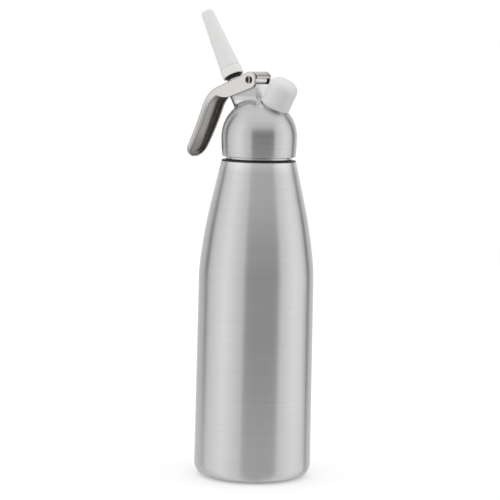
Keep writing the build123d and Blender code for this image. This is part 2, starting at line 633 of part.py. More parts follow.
# ==== valve stem: a tube with side holes above its seal and two grooves ====
SEAL_TOP = SEAT_HEIGHT - SEAT_GAP
SEAL_BOTTOM = SEAL_TOP - SEAL_THICKNESS
NUT_BOTTOM = SEAL_BOTTOM - NUT_THICKNESS
ORING_RING_RADIUS = STEM_RADIUS + STEM_RUNNING_GAP - ORING_SQUEEZE_GAP - ORING_SECTION
GROOVE_RADIUS = ORING_RING_RADIUS - ORING_SECTION - ORING_SQUEEZE_GAP
GROOVE_HEIGHT = 2 * (ORING_SECTION + ORING_SQUEEZE_GAP)
with BuildPart() as valve_stem:
    with BuildSketch(along_valve()):
        with BuildLine():
            Polyline(
                (0, STEM_TAIL_END),
                (STEM_TAIL_RADIUS - STEM_CHAMFER, STEM_TAIL_END),
                (STEM_TAIL_RADIUS, STEM_TAIL_END + STEM_CHAMFER),
                (STEM_TAIL_RADIUS, SEAL_TOP),
                (STEM_RADIUS, SEAL_TOP),
                (STEM_RADIUS, STEM_SHOULDER),
                (STEM_THREAD_RADIUS, STEM_SHOULDER),
                (STEM_THREAD_RADIUS, STEM_TOP - STEM_CHAMFER),
                (STEM_THREAD_RADIUS - STEM_CHAMFER, STEM_TOP),
                (STEM_BORE_RADIUS, STEM_TOP),
                (STEM_BORE_RADIUS, STEM_FLOOR),
                (0, STEM_FLOOR),
                close=True,
            )
        make_face()
        for height in ORING_HEIGHTS:
            with Locations((STEM_RADIUS, height)):
                Rectangle(2 * (STEM_RADIUS - GROOVE_RADIUS), GROOVE_HEIGHT, mode=Mode.SUBTRACT)
    revolve(axis=branch_axis(VALVE_PLANE))
    for turn in range(SIDE_HOLES // 2):
        with BuildSketch(across_valve(SIDE_HOLE_HEIGHT).rotated((0, 90, turn * 360 / SIDE_HOLES))):
            Circle(SIDE_HOLE_RADIUS)
        extrude(amount=STEM_RADIUS, both=True, mode=Mode.SUBTRACT)
finish(valve_stem, "valve_stem")

with BuildPart() as stem_orings:
    with BuildSketch(along_valve()):
        for height in ORING_HEIGHTS:
            with Locations((ORING_RING_RADIUS, height)):
                Circle(ORING_SECTION)
    revolve(axis=branch_axis(VALVE_PLANE))
finish(stem_orings, "stem_orings")


def ring(plane, inner_radius, outer_radius, thickness, edge):
    """A flat ring that stands on a plane; edge is the radius of its outer corners, or 0."""
    with BuildPart() as made:
        with BuildSketch(plane):
            Circle(outer_radius)
            Circle(inner_radius, mode=Mode.SUBTRACT)
        extrude(amount=thickness)
        if edge:
            fillet(rings_of(made, outer_radius), edge)
    return made


valve_seal = ring(
    across_valve(SEAL_BOTTOM), STEM_TAIL_RADIUS + SCREW_FIT, SEAL_RADIUS, SEAL_THICKNESS, RUBBER_EDGE
)
finish(valve_seal, "valve_seal")

with BuildPart() as seal_nut:
    with BuildSketch(across_valve(NUT_BOTTOM)):
        RegularPolygon(NUT_ACROSS_FLATS / 2, 6, major_radius=False)
        Circle(STEM_TAIL_RADIUS + SCREW_FIT, mode=Mode.SUBTRACT)
    extrude(amount=NUT_THICKNESS)
finish(seal_nut, "seal_nut")

# ==== return spring on its seat, under the washer that the lever presses ====
SPRING_BOTTOM = SPRING_POCKET_FLOOR + SPRING_SEAT_THICKNESS
SPRING_RISE = STEM_SHOULDER - SPRING_BOTTOM - SPRING_WIRE
spring_seat = ring(
    across_valve(SPRING_POCKET_FLOOR),
    STEM_RADIUS + SPRING_SEAT_PLAY,
    SPRING_POCKET_RADIUS - SPRING_SEAT_PLAY,
    SPRING_SEAT_THICKNESS,
    0,
)
finish(spring_seat, "spring_seat")

with BuildPart() as valve_spring:
    with BuildLine():
        coil = Helix(
            SPRING_RISE / SPRING_TURNS,
            SPRING_RISE,
            SPRING_MEAN_RADIUS,
            center=BRANCH_CENTRE + VALVE_AXIS * (SPRING_BOTTOM + SPRING_WIRE / 2),
            direction=VALVE_AXIS,
        )
    with BuildSketch(Plane(coil @ 0, x_dir=VALVE_AXIS, z_dir=coil % 0)):
        Circle(SPRING_WIRE / 2)
    sweep(is_frenet=True)
finish(valve_spring, "valve_spring")

thrust_washer = ring(
    across_valve(STEM_SHOULDER),
    STEM_THREAD_RADIUS + SCREW_FIT,
    THRUST_WASHER_RADIUS,
    THRUST_WASHER_THICKNESS,
    WASHER_EDGE,
)
finish(thrust_washer, "thrust_washer")

# ==== nozzle adapter: screwed on the stem, and the nozzle is screwed on it ====
ADAPTER_BOTTOM = STEM_SHOULDER + THRUST_WASHER_THICKNESS
ADAPTER_COLLAR_TOP = ADAPTER_COLLAR_BOTTOM + ADAPTER_COLLAR_HEIGHT
with BuildPart() as nozzle_adapter:
    with BuildSketch(along_valve()):
        with BuildLine():
            Polyline(
                (STEM_THREAD_RADIUS + SCREW_FIT, ADAPTER_BOTTOM),
                (ADAPTER_NECK_RADIUS, ADAPTER_BOTTOM),
                (ADAPTER_NECK_RADIUS, ADAPTER_COLLAR_BOTTOM),
                (ADAPTER_COLLAR_RADIUS, ADAPTER_COLLAR_BOTTOM),
                (ADAPTER_COLLAR_RADIUS, ADAPTER_COLLAR_TOP),
                (ADAPTER_THREAD_RADIUS, ADAPTER_COLLAR_TOP),
                (ADAPTER_THREAD_RADIUS, ADAPTER_TOP - STEM_CHAMFER),
                (ADAPTER_THREAD_RADIUS - STEM_CHAMFER, ADAPTER_TOP),
                (ADAPTER_MOUTH_RADIUS, ADAPTER_TOP),
                (ADAPTER_MOUTH_RADIUS, STEM_TOP + ADAPTER_STEM_ROOM),
                (STEM_THREAD_RADIUS + SCREW_FIT, STEM_TOP + ADAPTER_STEM_ROOM),
                close=True,
            )
        make_face()
    revolve(axis=branch_axis(VALVE_PLANE))
finish(nozzle_adapter, "nozzle_adapter")

nozzle_seal = ring(
    across_valve(ADAPTER_COLLAR_TOP),
    ADAPTER_THREAD_RADIUS + SCREW_FIT,
    ADAPTER_COLLAR_RADIUS,
    NOZZLE_SEAL_THICKNESS,
    0,
)
finish(nozzle_seal, "nozzle_seal")

# ==== nozzle: a tapered plastic tube with a band at its foot ====
NOZZLE_BAND_TOP = NOZZLE_BOTTOM + NOZZLE_BAND_HEIGHT
NOZZLE_SEAT = ADAPTER_COLLAR_TOP + NOZZLE_SEAL_THICKNESS
NOZZLE_SOCKET_TOP = ADAPTER_TOP + NOZZLE_SOCKET_ROOM
with BuildPart() as nozzle:
    with BuildSketch(along_valve()):
        with BuildLine():
            Polyline(
                (0, NOZZLE_BOTTOM),
                (NOZZLE_BASE_RADIUS, NOZZLE_BOTTOM),
                (NOZZLE_BASE_RADIUS, NOZZLE_BAND_TOP),
                (NOZZLE_BASE_RADIUS - NOZZLE_BAND_STEP, NOZZLE_BAND_TOP),
                (NOZZLE_TIP_RADIUS, NOZZLE_TOP),
                (0, NOZZLE_TOP),
                close=True,
            )
        make_face()
    revolve(axis=branch_axis(VALVE_PLANE))
    fillet(rings_of(nozzle, NOZZLE_TIP_RADIUS), NOZZLE_TIP_ROUND)
    foot_edge = rings_of(nozzle, NOZZLE_BASE_RADIUS).sort_by(Axis((0, 0, 0), VALVE_AXIS))[0]
    fillet(foot_edge, NOZZLE_FOOT_ROUND)
    with BuildSketch(along_valve()):
        with BuildLine():
            Polyline(
                (0, NOZZLE_BOTTOM - CUT_PAST),
                (NOZZLE_RECESS_RADIUS, NOZZLE_BOTTOM - CUT_PAST),
                (NOZZLE_RECESS_RADIUS, NOZZLE_SEAT),
                (ADAPTER_THREAD_RADIUS + SCREW_FIT, NOZZLE_SEAT),
                (ADAPTER_THREAD_RADIUS + SCREW_FIT, NOZZLE_SOCKET_TOP),
                (NOZZLE_BORE_RADIUS, NOZZLE_SOCKET_TOP),
                (NOZZLE_OUTLET_RADIUS, NOZZLE_TOP - NOZZLE_TIP_ROUND),
                (NOZZLE_OUTLET_RADIUS, NOZZLE_TOP + CUT_PAST),
                (0, NOZZLE_TOP + CUT_PAST),
                close=True,
            )
        make_face()
    revolve(axis=branch_axis(VALVE_PLANE), mode=Mode.SUBTRACT)
finish(nozzle, "nozzle")

# ==== charger port: a threaded fitting with a nipple inside the head ====
PORT_FLANGE_BOTTOM = PORT_COLLAR_TOP + PORT_GASKET_THICKNESS
PORT_FLANGE_TOP = PORT_FLANGE_BOTTOM + PORT_FLANGE_THICKNESS
NIPPLE_END = PORT_SHANK_BOTTOM - CHECK_SLEEVE_LENGTH
with BuildPart() as charger_port:
    with BuildSketch(along_port()):
        with BuildLine():
            Polyline(
                (0, NIPPLE_END),
                (CHECK_NIPPLE_RADIUS, NIPPLE_END),
                (CHECK_NIPPLE_RADIUS, PORT_SHANK_BOTTOM),
                (PORT_SHANK_RADIUS, PORT_SHANK_BOTTOM),
                (PORT_SHANK_RADIUS, PORT_FLANGE_BOTTOM),
                (PORT_FLANGE_RADIUS, PORT_FLANGE_BOTTOM),
                (PORT_FLANGE_RADIUS, PORT_FLANGE_TOP),
                (PORT_THREAD_RADIUS, PORT_FLANGE_TOP),
                (PORT_THREAD_RADIUS, PORT_TOP - PORT_EDGE),
                (PORT_THREAD_RADIUS - PORT_EDGE, PORT_TOP),
                (PORT_RECESS_RADIUS, PORT_TOP),
                (PORT_RECESS_RADIUS, PORT_RECESS_FLOOR),
                (PORT_BORE_RADIUS, PORT_RECESS_FLOOR),
                (PORT_BORE_RADIUS, NIPPLE_HOLE_HEIGHT),
                (0, NIPPLE_HOLE_HEIGHT),
                close=True,
            )
        make_face()
    revolve(axis=branch_axis(PORT_PLANE))
    with BuildSketch(across_port(NIPPLE_HOLE_HEIGHT).rotated((90, 0, 0))):
        Circle(NIPPLE_HOLE_RADIUS)
    extrude(amount=PORT_SHANK_RADIUS, both=True, mode=Mode.SUBTRACT)
finish(charger_port, "charger_port")

port_gasket = ring(
    across_port(PORT_COLLAR_TOP),
    PORT_SHANK_RADIUS + SCREW_FIT,
    PORT_FLANGE_RADIUS - PORT_GASKET_INSET,
    PORT_GASKET_THICKNESS,
    0,
)
finish(port_gasket, "port_gasket")

charger_seal = ring(
    across_port(PORT_RECESS_FLOOR),
    PIN_FLANGE_RADIUS + SCREW_FIT,
    PORT_RECESS_RADIUS - SCREW_FIT,
    CHARGER_SEAL_THICKNESS,
    0,
)
finish(charger_seal, "charger_seal")

# ==== piercing pin: a hollow point on a flange, with a shank that seals in the port's bore ====
PIN_SHANK_RADIUS = PORT_BORE_RADIUS - SCREW_FIT
PIN_RING_RADIUS = PORT_BORE_RADIUS - ORING_SQUEEZE_GAP - PIN_RING_SECTION
PIN_GROOVE_RADIUS = PIN_RING_RADIUS - PIN_RING_SECTION - ORING_SQUEEZE_GAP
PIN_GROOVE_HEIGHT = 2 * (PIN_RING_SECTION + ORING_SQUEEZE_GAP)
PIN_FLANGE_TOP = PORT_RECESS_FLOOR + PIN_FLANGE_HEIGHT
with BuildPart() as piercing_pin:
    with BuildSketch(along_port()):
        with BuildLine():
            Polyline(
                (PIN_BORE_RADIUS, PORT_RECESS_FLOOR - PIN_SHANK_LENGTH),
                (PIN_SHANK_RADIUS, PORT_RECESS_FLOOR - PIN_SHANK_LENGTH),
                (PIN_SHANK_RADIUS, PORT_RECESS_FLOOR),
                (PIN_FLANGE_RADIUS, PORT_RECESS_FLOOR),
                (PIN_FLANGE_RADIUS, PIN_FLANGE_TOP),
                (PIN_POINT_FOOT_RADIUS, PIN_FLANGE_TOP),
                (PIN_POINT_RADIUS, PIN_FLANGE_TOP + PIN_POINT_HEIGHT / 2),
                (PIN_BORE_RADIUS, PIN_FLANGE_TOP + PIN_POINT_HEIGHT),
                close=True,
            )
        make_face()
        with Locations((PIN_SHANK_RADIUS, PIN_RING_HEIGHT)):
            Rectangle(2 * (PIN_SHANK_RADIUS - PIN_GROOVE_RADIUS), PIN_GROOVE_HEIGHT, mode=Mode.SUBTRACT)
    revolve(axis=branch_axis(PORT_PLANE))
finish(piercing_pin, "piercing_pin")

with BuildPart() as piercing_pin_oring:
    with BuildSketch(along_port()):
        with Locations((PIN_RING_RADIUS, PIN_RING_HEIGHT)):
            Circle(PIN_RING_SECTION)
    revolve(axis=branch_axis(PORT_PLANE))
finish(piercing_pin_oring, "piercing_pin_oring")

non_return_valve = ring(
    across_port(NIPPLE_END),
    CHECK_NIPPLE_RADIUS + SCREW_FIT,
    CHECK_NIPPLE_RADIUS + CHECK_SLEEVE_WALL,
    CHECK_SLEEVE_LENGTH,
    RUBBER_EDGE,
)
finish(non_return_valve, "non_return_valve")

# ==== charger cap: a hollow plastic cover that screws over the port ====
CAP_BOTTOM = PORT_FLANGE_TOP + CAP_RIM_GAP
CAP_TOP = CAP_BOTTOM + CAP_LENGTH
CAP_DOME_DROP = CAP_DOME_RADIUS - sqrt(CAP_DOME_RADIUS**2 - (CAP_RADIUS - CAP_DRAFT) ** 2)
CAP_BORE_RADIUS = PORT_THREAD_RADIUS + SCREW_FIT
with BuildPart() as charger_cap:
    with BuildSketch(along_port()):
        with BuildLine():
            side = Line((CAP_RADIUS, CAP_BOTTOM), (CAP_RADIUS - CAP_DRAFT, CAP_TOP - CAP_DOME_DROP))
            dome = RadiusArc(side @ 1, (0, CAP_TOP), -CAP_DOME_RADIUS)
            Polyline(dome @ 1, (0, CAP_BOTTOM), side @ 0)
        make_face()
    revolve(axis=branch_axis(PORT_PLANE))
    fillet(rings_of(charger_cap, CAP_RADIUS - CAP_DRAFT), CAP_SHOULDER_ROUND)
    fillet(rings_of(charger_cap, CAP_RADIUS), CAP_RIM_ROUND)
    with BuildSketch(across_port(CAP_BOTTOM)):
        Circle(CAP_BORE_RADIUS)
    extrude(amount=CAP_INNER_DEPTH, mode=Mode.SUBTRACT)
    ceiling_edge = rings_of(charger_cap, CAP_BORE_RADIUS).sort_by(Axis((0, 0, 0), PORT_AXIS))[-1]
    fillet(ceiling_edge, CAP_INNER_ROUND)
finish(charger_cap, "charger_cap")
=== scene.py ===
# %% [markdown]
# # A one-litre cream dispenser
# A tall spun-aluminium bottle with a domed head, a bent steel lever, a white nozzle and a white
# cap over the charger port. The solids come from the imported model. This lesson gives them their
# finishes, a studio and a camera. It also adds what a solid model leaves plain: the threads that
# show when a piece is taken off, and a return spring.

import json
import math

import bmesh
import bpy
from mathutils import Matrix, Vector


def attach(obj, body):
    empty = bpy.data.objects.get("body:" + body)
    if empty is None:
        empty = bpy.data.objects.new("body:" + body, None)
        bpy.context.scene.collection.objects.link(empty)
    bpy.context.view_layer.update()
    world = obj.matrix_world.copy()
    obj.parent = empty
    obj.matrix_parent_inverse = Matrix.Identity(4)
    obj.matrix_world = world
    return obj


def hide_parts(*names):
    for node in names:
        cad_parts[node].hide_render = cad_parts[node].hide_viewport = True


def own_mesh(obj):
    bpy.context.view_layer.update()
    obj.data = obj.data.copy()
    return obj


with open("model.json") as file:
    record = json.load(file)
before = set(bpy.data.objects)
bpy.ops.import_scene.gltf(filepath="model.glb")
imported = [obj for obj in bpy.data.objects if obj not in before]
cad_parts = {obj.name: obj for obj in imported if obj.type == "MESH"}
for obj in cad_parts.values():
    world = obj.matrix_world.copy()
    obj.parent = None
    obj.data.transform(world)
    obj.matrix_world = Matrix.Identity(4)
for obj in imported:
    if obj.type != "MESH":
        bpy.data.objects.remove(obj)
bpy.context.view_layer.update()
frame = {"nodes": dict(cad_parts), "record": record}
print("nodes:", sorted(frame["nodes"]))

# %% [markdown]
# ## Sums written as sums
# A shader is a graph of small sums, and graphs wired by hand are hard to read. Here a small
# class stands for one output socket. Python's own signs then add Math nodes, so
# `0.3 + 0.1 * streaks` builds what it says. Any other node comes from one method, which takes
# the node's inputs in their order, or by name or number.


# %% A socket with arithmetic
class Wire:
    """One output socket of a node tree."""

    def __init__(self, net, socket):
        self.net, self.socket = net, socket

    def maths(self, operation, *others):
        return self.net.add("ShaderNodeMath", self, *others, operation=operation)

    def __add__(self, other):
        return self.maths("ADD", other)

    def __sub__(self, other):
        return self.maths("SUBTRACT", other)

    def __mul__(self, other):
        return self.maths("MULTIPLY", other)

    def __truediv__(self, other):
        return self.maths("DIVIDE", other)

    def __rsub__(self, other):
        return self.net.add("ShaderNodeMath", other, self, operation="SUBTRACT")

    __radd__ = __add__
    __rmul__ = __mul__

    def clamped(self, low, high):
        """0 at low and below, 1 at high and above, with a soft step between."""
        return self.net.add(
            "ShaderNodeMapRange", self, low, high, 0, 1, interpolation_type="SMOOTHSTEP"
        )


class Net:
    """A node tree, of a material or of the world, that is filled by add()."""

    def __init__(self, owner):
        owner.use_nodes = True
        self.tree = owner.node_tree
        self.tree.nodes.clear()

    def add(self, kind, *values, out=0, inputs=None, **settings):
        node = self.tree.nodes.new(kind)
        for name, value in settings.items():
            setattr(node, name, value)
        given = dict(enumerate(values))
        given.update(inputs or {})
        for key, value in given.items():
            if isinstance(value, Wire):
                self.tree.links.new(value.socket, node.inputs[key])
            else:
                node.inputs[key].default_value = value
        return Wire(self, node.outputs[out]) if node.outputs else None


print("Wire and Net are ready")

# %% [markdown]
# ## Where a finish lies
# All the solids sit at the origin with their place in their vertices. Object coordinates are
# therefore metres in the shared frame, and they stay with a piece when it moves. The valve and
# the charger port lean to the two sides of the head, and their axes cross at one height.

# %% Coordinates for a finish
VALVE_LEAN = math.radians(29)
BRANCH_HEIGHT = 0.2580
valve_axis = (-math.sin(VALVE_LEAN), 0.0, math.cos(VALVE_LEAN))


def three_of(net, kind):
    parts = net.add("ShaderNodeSeparateXYZ", net.add("ShaderNodeTexCoord", out=kind))
    return [Wire(net, socket) for socket in parts.socket.node.outputs]


def position(net):
    """The x, y and z of a point on the piece, in metres."""
    return three_of(net, "Object")


def facing(net):
    """How far a surface faces to +X, +Y and +Z."""
    return three_of(net, "Normal")


def height_on_valve(x, z):
    """How far a point lies up the valve's axis from the height where the axes cross."""
    return x * -math.sin(VALVE_LEAN) + (z - BRANCH_HEIGHT) * math.cos(VALVE_LEAN)


print("the valve leans by", round(math.degrees(VALVE_LEAN)), "degrees, along", valve_axis)

# %% [markdown]
# ## What each finish is built from
# Every finish is one Principled shader on bare numbers and sums: noise for lines, scratches and
# grain, and a mix of two colours where a place on the piece is darker or paler than the rest.


# %% Building blocks of a finish
def noise(net, x, y, z):
    """Noise from 0 to 1 at a point that has already been scaled."""
    point = net.add("ShaderNodeCombineXYZ", x, y, z)
    fineness = {"Scale": 1.0, "Detail": 2.0, "Roughness": 0.5}
    return net.add("ShaderNodeTexNoise", inputs={"Vector": point, **fineness})


def toned(colour, share):
    return [share * channel for channel in colour]


def shaded(net, first, second, amount):
    """A colour between the first and the second, each a wire or three numbers."""
    first, second = [end if isinstance(end, Wire) else (*end, 1) for end in (first, second)]
    mix = {0: amount, 6: first, 7: second}      # the three sockets that a colour mix shows
    return net.add("ShaderNodeMix", data_type="RGBA", out=2, inputs=mix)


def surface(net, **inputs):
    """The material's one shader; a word such as Base_Color names the socket Base Color."""
    named = {name.replace("_", " "): value for name, value in inputs.items()}
    shader = net.add("ShaderNodeBsdfPrincipled", inputs=named)
    net.add("ShaderNodeOutputMaterial", shader)


def material(name):
    made = bpy.data.materials.new(name)
    return made, Net(made)


print("building blocks: noise, toned, shaded, surface, material")

# %% [markdown]
# ## Spun aluminium
# The bottle and the head are turned on a lathe, which leaves fine lines around them. Such lines
# spread a reflection up and down but hardly sideways, so the metal shows long upright bands.
# Anisotropy does the same: the default tangent runs round Z, and a rotation of a quarter turn
# puts the wide blur upright. Two sizes of noise, stretched around the axis, draw the lines.

# %% Mix the spun aluminium
SPUN = (0.655, 0.655, 0.66), (0.80, 0.80, 0.805)        # in the lines and between them
FINE_LINES, BROAD_LINES = (12, 2500), (20, 600)         # per metre, around the axis and along it
FINE_SHARE = 0.6
CLOUDS = 25
QUARTER_TURN = 0.25


def spun_aluminium(name, roughness, blur, tone, places):
    """Turned metal; places(net, z, colour, rough) adds what differs from place to place."""
    made, net = material(name)
    x, y, z = position(net)
    fine, broad = [
        noise(net, x * around, y * around, z * along) for around, along in (FINE_LINES, BROAD_LINES)
    ]
    lines = fine * FINE_SHARE + broad * (1 - FINE_SHARE)
    clouds = noise(net, x * CLOUDS, y * CLOUDS, z * CLOUDS)
    colour = shaded(net, *[toned(end, tone) for end in SPUN], lines)
    rough = lines * 0.04 + clouds * 0.04 + (roughness - 0.04)
    colour, rough, metallic = places(net, z, colour, rough)
    surface(
        net, Base_Color=colour, Metallic=metallic, Roughness=rough, Anisotropic=blur,
        Anisotropic_Rotation=QUARTER_TURN,
    )
    print(name, "roughness", roughness, "upright blur", blur)
    return made


# %% [markdown]
# The bottle is painted darker on the rounding that it stands on, a painted contact shadow, and
# paler on the last of its shoulder, a painted highlight. The foot of its neck lies in the gap under
# the head, with no light: it is painted near black there as painted shadow, and is rougher. A faint
# film towards both ends makes the metal there a little matt.

# %% Finish the bottle
FOOT_ROUNDING = (0.0004, 0.0032)
FOOT_PAINTED_SHADOW = (0.38, 0.38, 0.385)
NECK_FOOT = (0.2405, 0.2422)
NECK_PAINTED_SHADOW = (0.06, 0.06, 0.06)
SHOULDER_PAINTED_HIGHLIGHT, SHOULDER_RUN = (0.86, 0.86, 0.865), 0.009
LOW_FILM, HIGH_FILM = (0.0, 0.12), (0.15, 0.24)         # the heights over which each changes


def on_the_bottle(net, z, colour, rough):
    low, high = NECK_FOOT
    # painted contact shadow on the rounding that the bottle stands on
    colour = shaded(net, FOOT_PAINTED_SHADOW, colour, z.clamped(*FOOT_ROUNDING))
    # painted highlight on the last of the shoulder
    colour = shaded(net, colour, SHOULDER_PAINTED_HIGHLIGHT, z.clamped(low - SHOULDER_RUN, low))
    # painted shadow on the neck's foot, in the gap under the head
    in_gap = z.clamped(low - 0.0002, low + 0.0002) * (1 - z.clamped(high, high + 0.0004))
    colour = shaded(net, colour, NECK_PAINTED_SHADOW, in_gap)
    film = (1 - z.clamped(*LOW_FILM)) * 0.28 + z.clamped(*HIGH_FILM) * 0.16
    return colour, rough + in_gap * 0.25, 1 - film


bottle_metal = spun_aluminium("bottle", 0.31, 0.88, 1.0, on_the_bottle)

# %% [markdown]
# The head's dome is turned too, but its top is milled, and duller there. The boss's flat sides
# are painted darker, as painted shade, and its end paler, as a painted highlight. Round the boss's
# root runs a painted highlight on the fillet, except on the side that faces the lever.

# %% Finish the head
MILLED = (0.288, 0.290)
ROOT_STARTS, ROOT_ENDS = (0.2815, 0.2835), (0.2855, 0.2868)
ROOT_PAINTED_HIGHLIGHT, SIDE_PAINTED_SHADE, END_PAINTED_HIGHLIGHT = (0.88, 0.88, 0.885), (0.58, 0.58, 0.585), (0.95, 0.95, 0.955)


def on_the_head(net, z, colour, rough):
    right, back = facing(net)[:2]
    milled = z.clamped(*MILLED)
    # painted highlight on the fillet round the boss's root, except on the side facing the lever
    root = z.clamped(*ROOT_STARTS) * (1 - z.clamped(*ROOT_ENDS)) * right.clamped(-0.5, -0.1)
    colour = shaded(net, colour, ROOT_PAINTED_HIGHLIGHT, root)
    # painted shade on the boss's flat sides, which face to -Y and +Y
    colour = shaded(net, colour, SIDE_PAINTED_SHADE, milled * back.maths("ABSOLUTE").clamped(0.80, 0.95))
    # painted highlight on the boss's end, which faces +X
    colour = shaded(net, colour, END_PAINTED_HIGHLIGHT, milled * right.clamped(0.90, 0.98))
    return colour, rough + milled * 0.12, 1.0


head_metal = spun_aluminium("head", 0.26, 0.7, 0.94, on_the_head)

# %% [markdown]
# ## Machined steel
# The small steel parts are turned or stamped, and have faint scratches. The adapter and the
# pivot pin are painted black, as painted shade, where they sit in shade between other parts. Two
# places keep a pale steel colour: a strip across the pin's head, which is a painted highlight, and
# the neck of the adapter under its collar. A function says where the pale steel goes, and it can
# be left out.

# %% Make the polished steel
BLACK, STEEL, PALE_STEEL = (0.035, 0.035, 0.035), (0.66, 0.65, 0.63), (0.82, 0.81, 0.79)
SCRATCHES = (300, 4000, 300)                # per metre along X, Y and Z
PIVOT_X = -0.0034
SLOT_EDGE = (0.0005, 0.0006)                # from the middle of the pin
ADAPTER_NECK_END = (0.0494, 0.0498)         # on the valve's axis


def scratched(net, x, y, z):
    return noise(net, *[place * per for place, per in zip((x, y, z), SCRATCHES)])


def polished_steel(name, colour, roughness, pale_part=None):
    made, net = material(name)
    x, y, z = position(net)
    scratches = scratched(net, x, y, z)
    paint = shaded(net, colour, PALE_STEEL, pale_part(x, z)) if pale_part else (*colour, 1)
    surface(net, Base_Color=paint, Metallic=1.0, Roughness=scratches * 0.08 + roughness)
    return made


# a painted highlight: a pale upright strip across the pin's head
def painted_slot_highlight(x, z):
    return 1 - (x - PIVOT_X).maths("ABSOLUTE").clamped(*SLOT_EDGE)


def below_the_collar(x, z):
    return 1 - height_on_valve(x, z).clamped(*ADAPTER_NECK_END)


steel = polished_steel("steel", STEEL, 0.22)
dark_steel = polished_steel("dark_steel", BLACK, 0.32)
# the pin: painted black as painted shade, with a painted highlight across its head
pin_steel = polished_steel("pin_steel", BLACK, 0.32, pale_part=painted_slot_highlight)
# the adapter: painted black as painted shadow, with plain pale steel under its collar
adapter_steel = polished_steel("adapter_steel", BLACK, 0.32, pale_part=below_the_collar)
print("steel, and three finishes of blackened steel")

# %% [markdown]
# ## The lever's sheet
# The lever is polished on its outside, a little warmer than the aluminium. Inside the bent
# sheet it is rougher, and painted darker as painted shade. Which side faces inwards shows in the
# direction of the surface: the flanks face the middle plane, and the inner web faces right and
# down. The lever is darker towards the bottom, and on the handle painted shade runs along the
# outer edge and deeper into the side, away from that edge.

# %% Make the lever's steel
LEVER_STEEL, LEVER_INSIDE_PAINTED_SHADE = (0.74, 0.72, 0.69), (0.20, 0.185, 0.17)
WEB_SHADE_DEEPENS = (0.2505, 0.2600)           # the inner web is darker below this
DARKER_BELOW = (0.272, 0.292)
HANDLE = (0.2770, 0.2885)                   # its painted shade fades out over these heights
BACK_FROM, BACK_SLOPE, BACK_BEND, BACK_X = 0.280, 0.388, 1.86, -0.04783
OUTER_EDGE, PAINTED_SHADE_DEPTHS = (0.0, 0.0012), (0.0022, 0.0040)     # depths into the sheet's side


# painted shade inside the bent sheet: on the flanks, and on the inner web, more so low down
def inside_of_sheet(net, y, z):
    right, back, up = facing(net)
    flank = (back * y.maths("SIGN") * -1).clamped(0.3, 0.7)
    web_shade = 0.50 + 0.20 * (1 - z.clamped(*WEB_SHADE_DEEPENS))
    return flank.maths("MAXIMUM", (right - up).clamped(0.6, 1.0) * web_shade)


def depth_from_back(x, z):
    """How far a point lies from the curve that the handle's back follows."""
    rise = z - BACK_FROM
    return x - (rise * BACK_SLOPE - rise * rise * BACK_BEND + BACK_X)


def lever_steel(name, colour, roughness):
    made, net = material(name)
    x, y, z = position(net)
    scratches = scratched(net, x, y, z)
    inside = inside_of_sheet(net, y, z)
    depth = depth_from_back(x, z)
    handle = 1 - z.clamped(*HANDLE)
    # painted shade along the handle's rounded outer edge
    at_edge = (1 - depth.clamped(*OUTER_EDGE)) * handle * 0.6
    # darker towards the bottom
    outside_tone = shaded(net, toned(colour, 0.86), colour, z.clamped(*DARKER_BELOW))
    outside_tone = shaded(net, outside_tone, toned(colour, 0.62), at_edge)
    # painted shade deeper into the handle's side, away from its outer edge
    outside_tone = shaded(net, outside_tone, toned(colour, 0.56), depth.clamped(*PAINTED_SHADE_DEPTHS) * handle)
    # the painted shade inside the sheet
    paint = shaded(net, outside_tone, LEVER_INSIDE_PAINTED_SHADE, inside)
    rough = scratches * 0.08 + inside * 0.25 + roughness
    surface(net, Base_Color=paint, Metallic=1.0, Roughness=rough)
    return made


lever_metal = lever_steel("lever", LEVER_STEEL, 0.14)
print("the lever's steel is", LEVER_STEEL, "outside and", LEVER_INSIDE_PAINTED_SHADE, "inside")

# %% [markdown]
# ## Plastic and rubber
# The nozzle and the cap are smooth white plastic with a very fine grain. The nozzle has a band
# at its foot, which is a little paler and starts with a fine shaded line.

# %% Make the moulded finishes
GRAIN = 1500
BAND_TOP = 0.0596                           # on the valve's axis
BAND_EDGE = 0.0002
BAND_LINE = (0.0001, 0.0005)


def moulded(name, colour, roughness, band=None):
    made, net = material(name)
    x, y, z = position(net)
    grain = noise(net, x * GRAIN, y * GRAIN, z * GRAIN)
    paint = (*colour, 1)
    if band:
        height = height_on_valve(x, z)
        paint = shaded(net, toned(colour, 1.06), colour, height.clamped(band, band + BAND_EDGE))
        line = (height - band).maths("ABSOLUTE").clamped(*BAND_LINE)
        paint = shaded(net, toned(colour, 0.80), paint, line)
    surface(net, Base_Color=paint, Roughness=grain * 0.06 + roughness)
    return made


nozzle_plastic = moulded("white_plastic", (0.825, 0.82, 0.81), 0.28, band=BAND_TOP)
cap_plastic = moulded("cap_plastic", (0.76, 0.76, 0.77), 0.28)
silicone = moulded("silicone", (0.80, 0.80, 0.78), 0.5)
seal_rubber = moulded("seal_rubber", (0.03, 0.03, 0.03), 0.55)
print("four moulded finishes")

# %% [markdown]
# ## A finish for every solid
# The record names a slot for each node, and most nodes take their slot's finish. Three differ
# from others in the same slot, so they have one of their own.

# %% Give each node its finish
slot_finish = {
    "bottle": bottle_metal, "head": head_metal, "lever": lever_metal, "steel": steel,
    "dark_steel": dark_steel, "white_plastic": nozzle_plastic, "silicone": silicone,
    "seal_rubber": seal_rubber,
}
own_finish = {
    "charger_cap": cap_plastic, "pivot_pin": pin_steel, "nozzle_adapter": adapter_steel,
}
for part in frame["record"]["subparts"]:
    mesh = frame["nodes"][part["node"]].data
    mesh.materials.clear()
    mesh.materials.append(own_finish.get(part["node"]) or slot_finish[part["material_slot"]])

